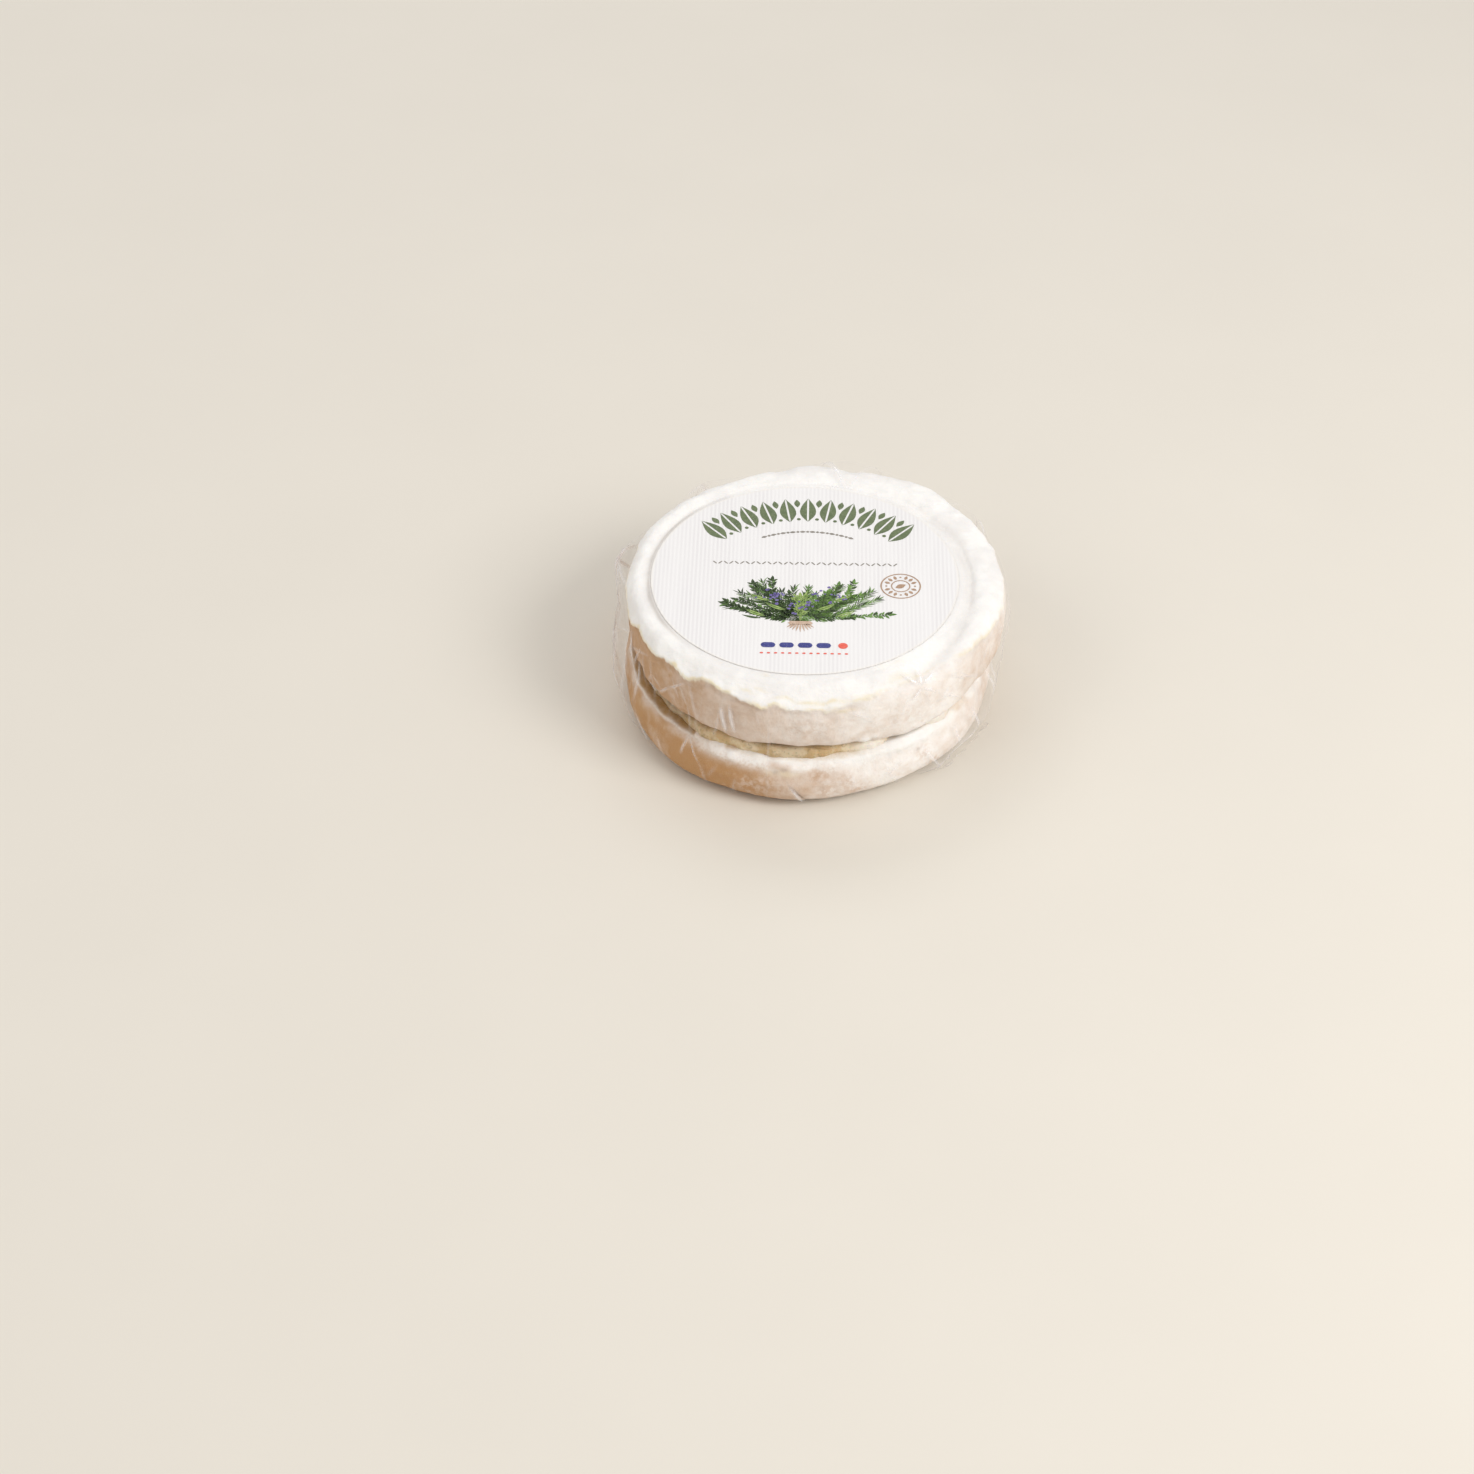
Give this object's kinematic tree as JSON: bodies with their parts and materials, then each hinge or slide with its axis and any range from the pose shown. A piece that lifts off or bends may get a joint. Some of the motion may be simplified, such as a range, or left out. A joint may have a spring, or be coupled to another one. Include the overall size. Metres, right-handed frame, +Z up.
{
  "type": "filled brie wheel",
  "caption": "Small round soft-ripened cheese in two layers with a herb cream between them, wrapped in clear film with a round paper label on top.",
  "frame": {"origin": "middle of the wheel's footprint, on the surface that it stands on", "axes": "+Z up through the wheel, -Y towards the side where the groove gapes, as the picture shows it"},
  "size_m": [0.1104, 0.1118, 0.0388],
  "materials": {
    "rind": "white mould rind, soft and dry, slightly uneven",
    "herb_cream": "moist cream with chopped herbs",
    "label_paper": "matt, finely ribbed paper with a simple print",
    "clear_film": "thin clear plastic film, glossy and wrinkled"
  },
  "bodies": {
    "root": {"lower_brie": "rind", "herb_filling": "herb_cream", "upper_brie": "rind", "label": "label_paper", "film_wrap": "clear_film"}
  },
  "joints": []
}
